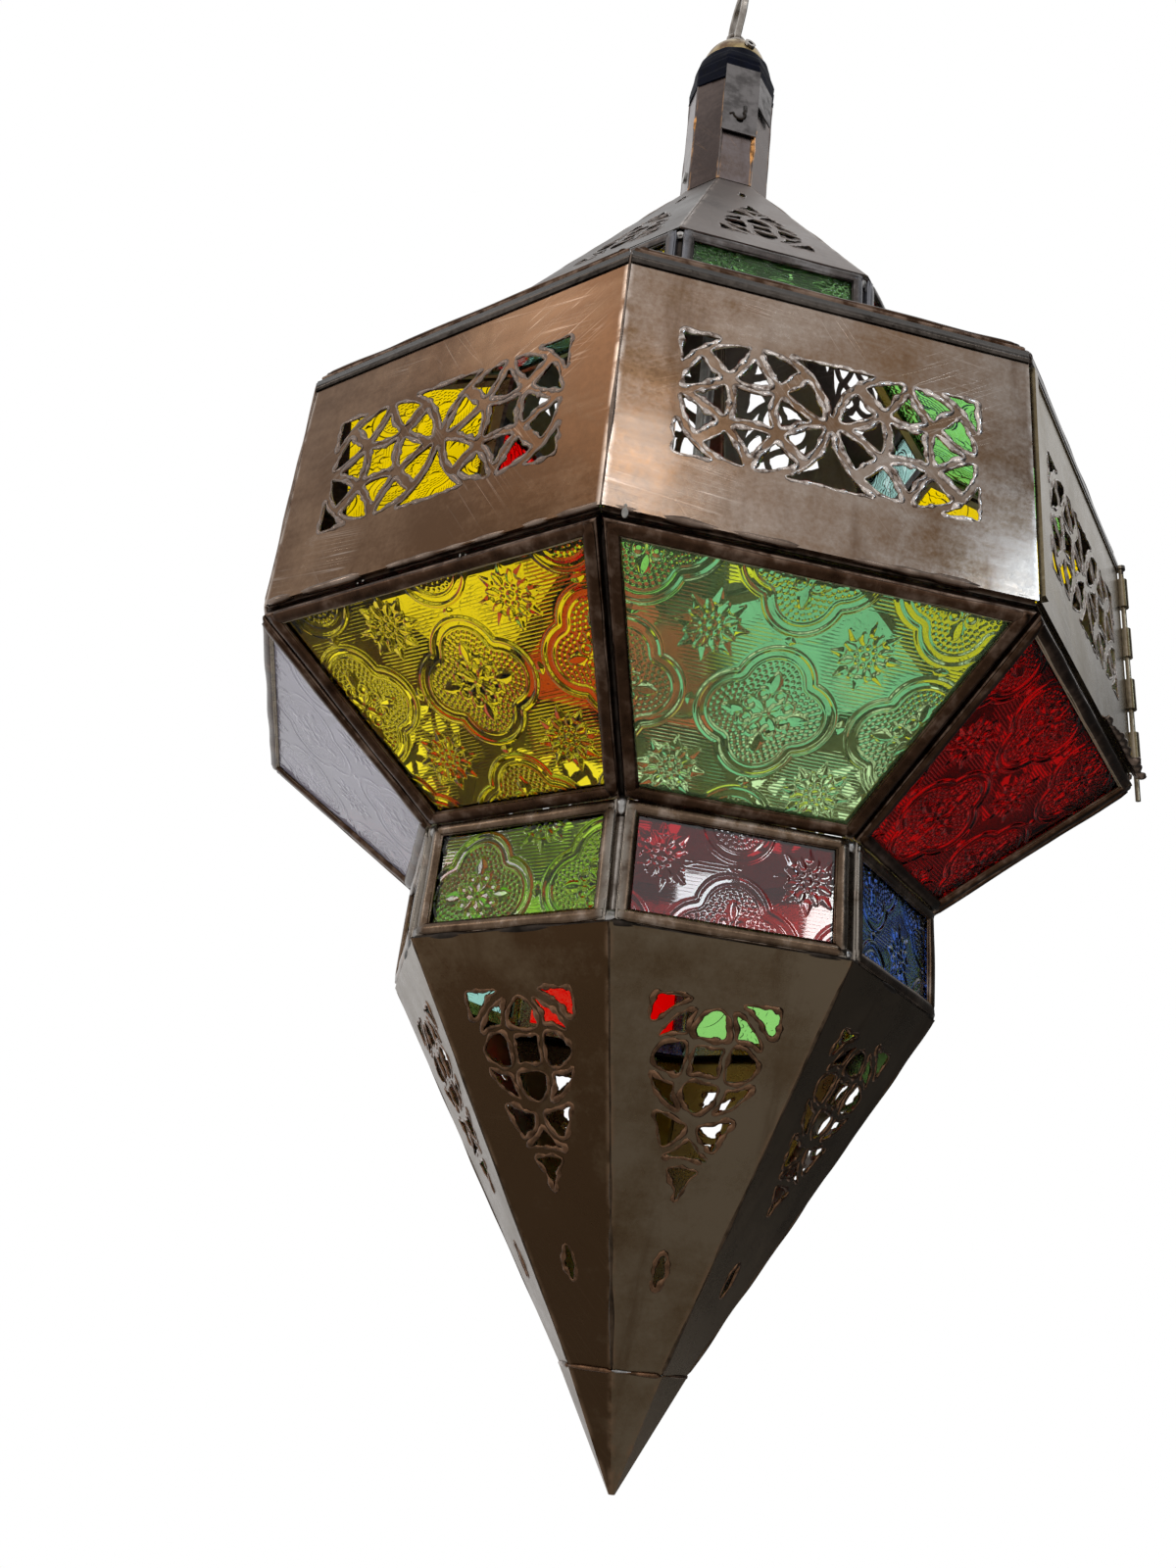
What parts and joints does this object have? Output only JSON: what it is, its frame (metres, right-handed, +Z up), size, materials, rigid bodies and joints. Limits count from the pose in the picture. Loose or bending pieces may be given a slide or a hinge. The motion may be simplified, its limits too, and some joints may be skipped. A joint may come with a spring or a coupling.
{
  "type": "hanging lantern",
  "caption": "Pointed octagonal hanging lantern of patinated sheet metal with a pierced band, roof and cone, coloured pressed-glass panes and a hinged access door.",
  "frame": {"origin": "centre of the hanging link's round bore", "axes": "+Z up along the lantern, front band panel facing -Y, door on the facet between -Y and +X"},
  "size_m": [0.4483, 0.4448, 0.9916],
  "materials": {
    "sheet_metal": "dark brown patina, satin",
    "frame_metal": "worn brown patina over tinned sheet",
    "dome_brass": "tarnished",
    "steel": "plain",
    "tape": "smooth vinyl tape",
    "holder": "matt",
    "bulb_glass": "clear",
    "green_glass": "pressed pattern",
    "red_glass": "pressed pattern",
    "blue_glass": "pressed pattern",
    "yellow_glass": "pressed pattern"
  },
  "bodies": {
    "hanger": {"hanging_link": "steel"},
    "lantern": {"band_panels": "sheet_metal", "band_rails": "sheet_metal", "bulb_base": "steel", "bulb_glass": "bulb_glass", "cone_panels": "sheet_metal", "cone_tip": "sheet_metal", "cord_bush": "steel", "cross_bar": "steel", "cross_bar_rivets": "steel", "dome_cap": "dome_brass", "door_hinge_pin": "steel", "front_tab": "frame_metal", "hinge_knuckles": "sheet_metal", "holder_body": "holder", "holder_cap": "holder", "lamp_tube": "steel", "loop_eye": "steel", "lower_frames": "frame_metal", "lower_neck_frames": "frame_metal", "lower_neck_pane_1": "red_glass", "lower_neck_pane_2": "blue_glass", "lower_neck_pane_3": "yellow_glass", "lower_neck_pane_4": "green_glass", "lower_neck_pane_5": "red_glass", "lower_neck_pane_6": "blue_glass", "lower_neck_pane_7": "yellow_glass", "lower_neck_pane_8": "green_glass", "lower_pane_1": "green_glass", "lower_pane_2": "red_glass", "lower_pane_3": "blue_glass", "lower_pane_4": "yellow_glass", "lower_pane_5": "green_glass", "lower_pane_6": "red_glass", "lower_pane_7": "blue_glass", "lower_pane_8": "yellow_glass", "roof_panels": "sheet_metal", "shoulder_frames": "frame_metal", "shoulder_pane_1": "red_glass", "shoulder_pane_2": "green_glass", "shoulder_pane_3": "yellow_glass", "shoulder_pane_4": "blue_glass", "shoulder_pane_5": "red_glass", "shoulder_pane_6": "green_glass", "shoulder_pane_7": "yellow_glass", "shoulder_pane_8": "blue_glass", "tape_wrap": "tape", "top_tube": "sheet_metal", "tube_nuts": "steel", "upper_neck_frames": "frame_metal", "upper_neck_pane_1": "green_glass", "upper_neck_pane_2": "red_glass", "upper_neck_pane_3": "blue_glass", "upper_neck_pane_4": "yellow_glass", "upper_neck_pane_5": "green_glass", "upper_neck_pane_6": "red_glass", "upper_neck_pane_7": "blue_glass", "upper_neck_pane_8": "yellow_glass"},
    "door": {"access_door": "sheet_metal"}
  },
  "joints": [
    {"name": "hanging_swing", "type": "hinge", "parent": "hanger", "child": "lantern", "pos_m": [0, 0, -0.02355], "axis": [0, 1, 0], "range_deg": [-100, 100]},
    {"name": "door_swing", "type": "hinge", "parent": "lantern", "child": "door", "pos_m": [0.22312, -0.09242, -0.55461], "axis": [0, 0, 1], "range_deg": [0, 170]}
  ]
}
